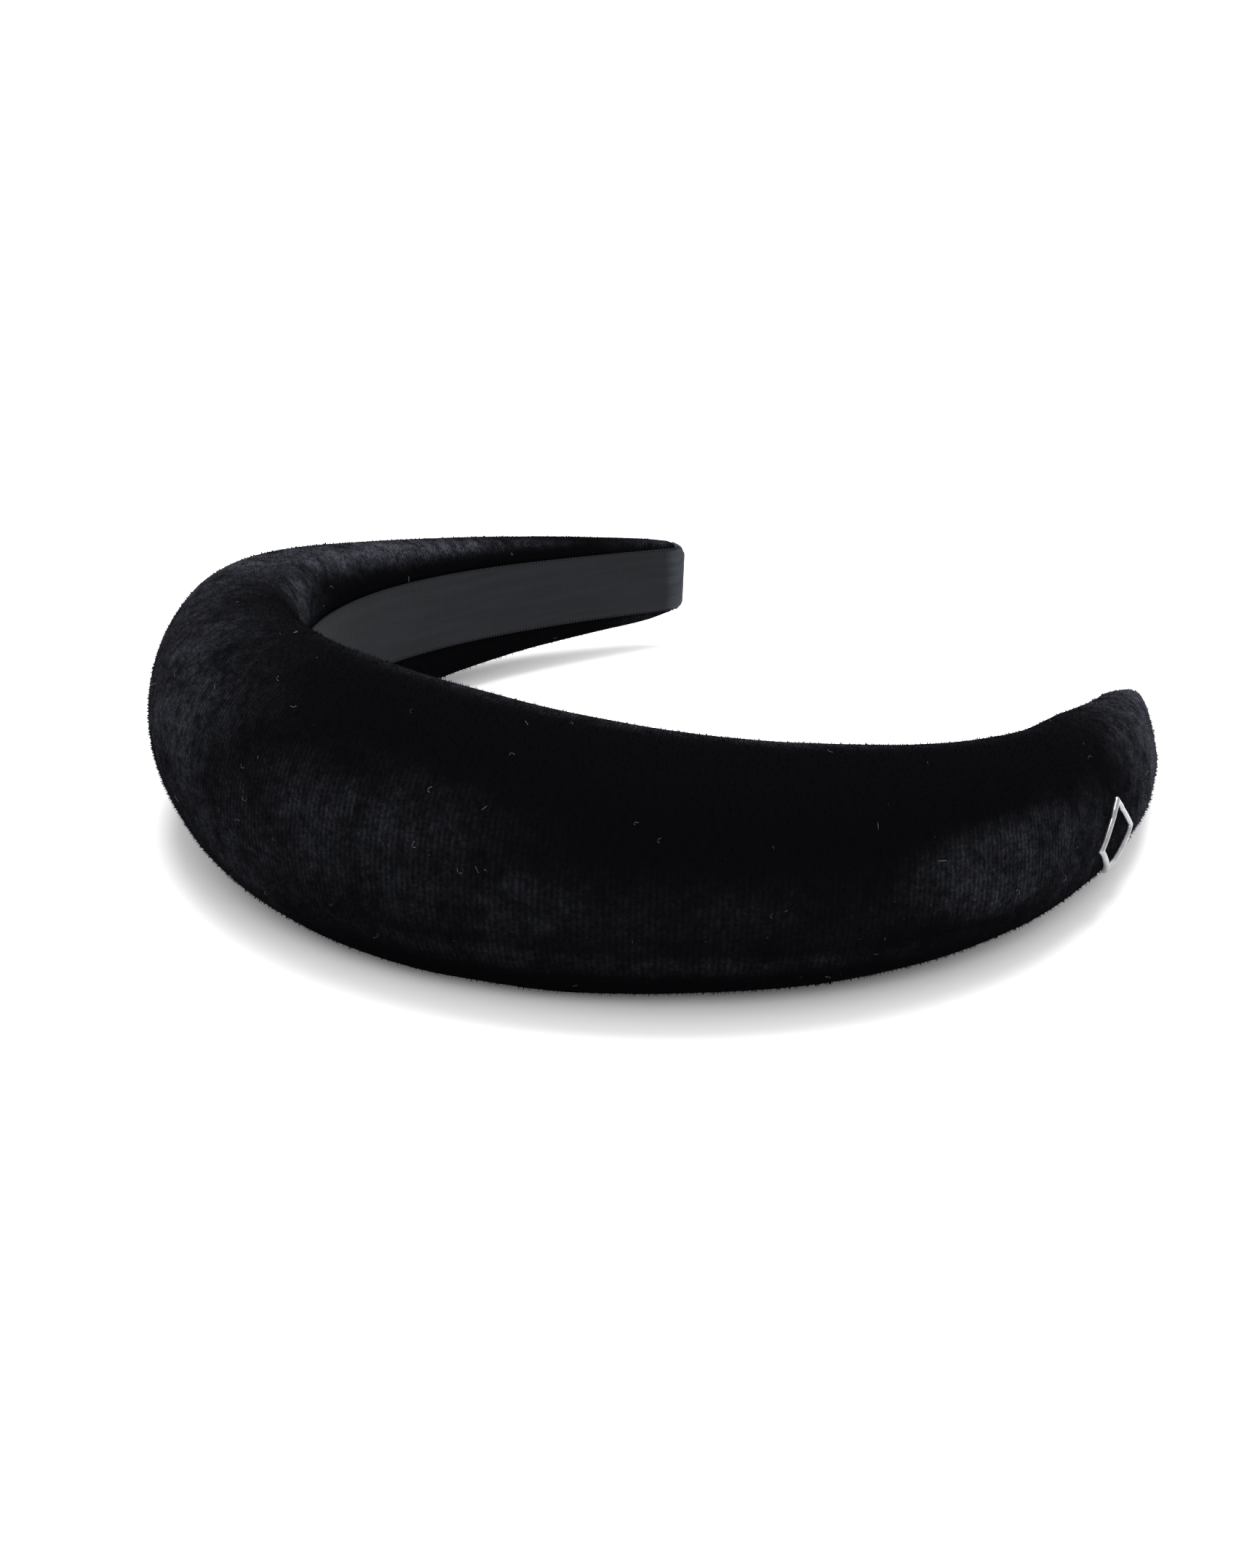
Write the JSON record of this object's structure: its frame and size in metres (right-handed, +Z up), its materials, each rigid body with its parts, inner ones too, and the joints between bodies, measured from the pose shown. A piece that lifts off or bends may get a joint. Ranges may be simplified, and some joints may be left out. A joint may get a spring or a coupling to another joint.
{
  "type": "headband",
  "caption": "Padded velvet headband: a sprung arch of foam-covered plastic band in a velvet sleeve, lined with ribbon, with a small metal badge near one tip.",
  "frame": {"origin": "centre of the bounding box in X and Y, on the surface that the headband lies on", "axes": "+Z up off that surface and across the band's width; +X from the left arm to the right arm, which carries the badge; the crown faces -Y and the tips point to +Y"},
  "size_m": [0.1834, 0.1658, 0.0466],
  "materials": {
    "velvet": "black velvet, short soft pile",
    "ribbon": "charcoal ribbed ribbon, matte",
    "foam": "soft foam",
    "band_plastic": "springy moulded plastic",
    "badge_steel": "polished, slightly soft"
  },
  "bodies": {
    "left_half": {"spring_band_left": "band_plastic", "foam_pad_left": "foam", "velvet_cover_left": "velvet", "ribbon_lining_left": "ribbon", "tip_wrap_left": "ribbon"},
    "right_half": {"spring_band_right": "band_plastic", "foam_pad_right": "foam", "velvet_cover_right": "velvet", "ribbon_lining_right": "ribbon", "tip_wrap_right": "ribbon", "badge_plate": "badge_steel", "badge_prong_front": "badge_steel", "badge_prong_back": "badge_steel", "badge_backing": "badge_steel"}
  },
  "joints": [
    {"name": "arms_spread", "type": "hinge", "parent": "left_half", "child": "right_half", "pos_m": [-0.00014, -0.08294, 0.0243], "axis": [0, -0.0558, -0.9984], "range_deg": [0, 12], "stiffness_Nm_per_rad": 1.2}
  ]
}
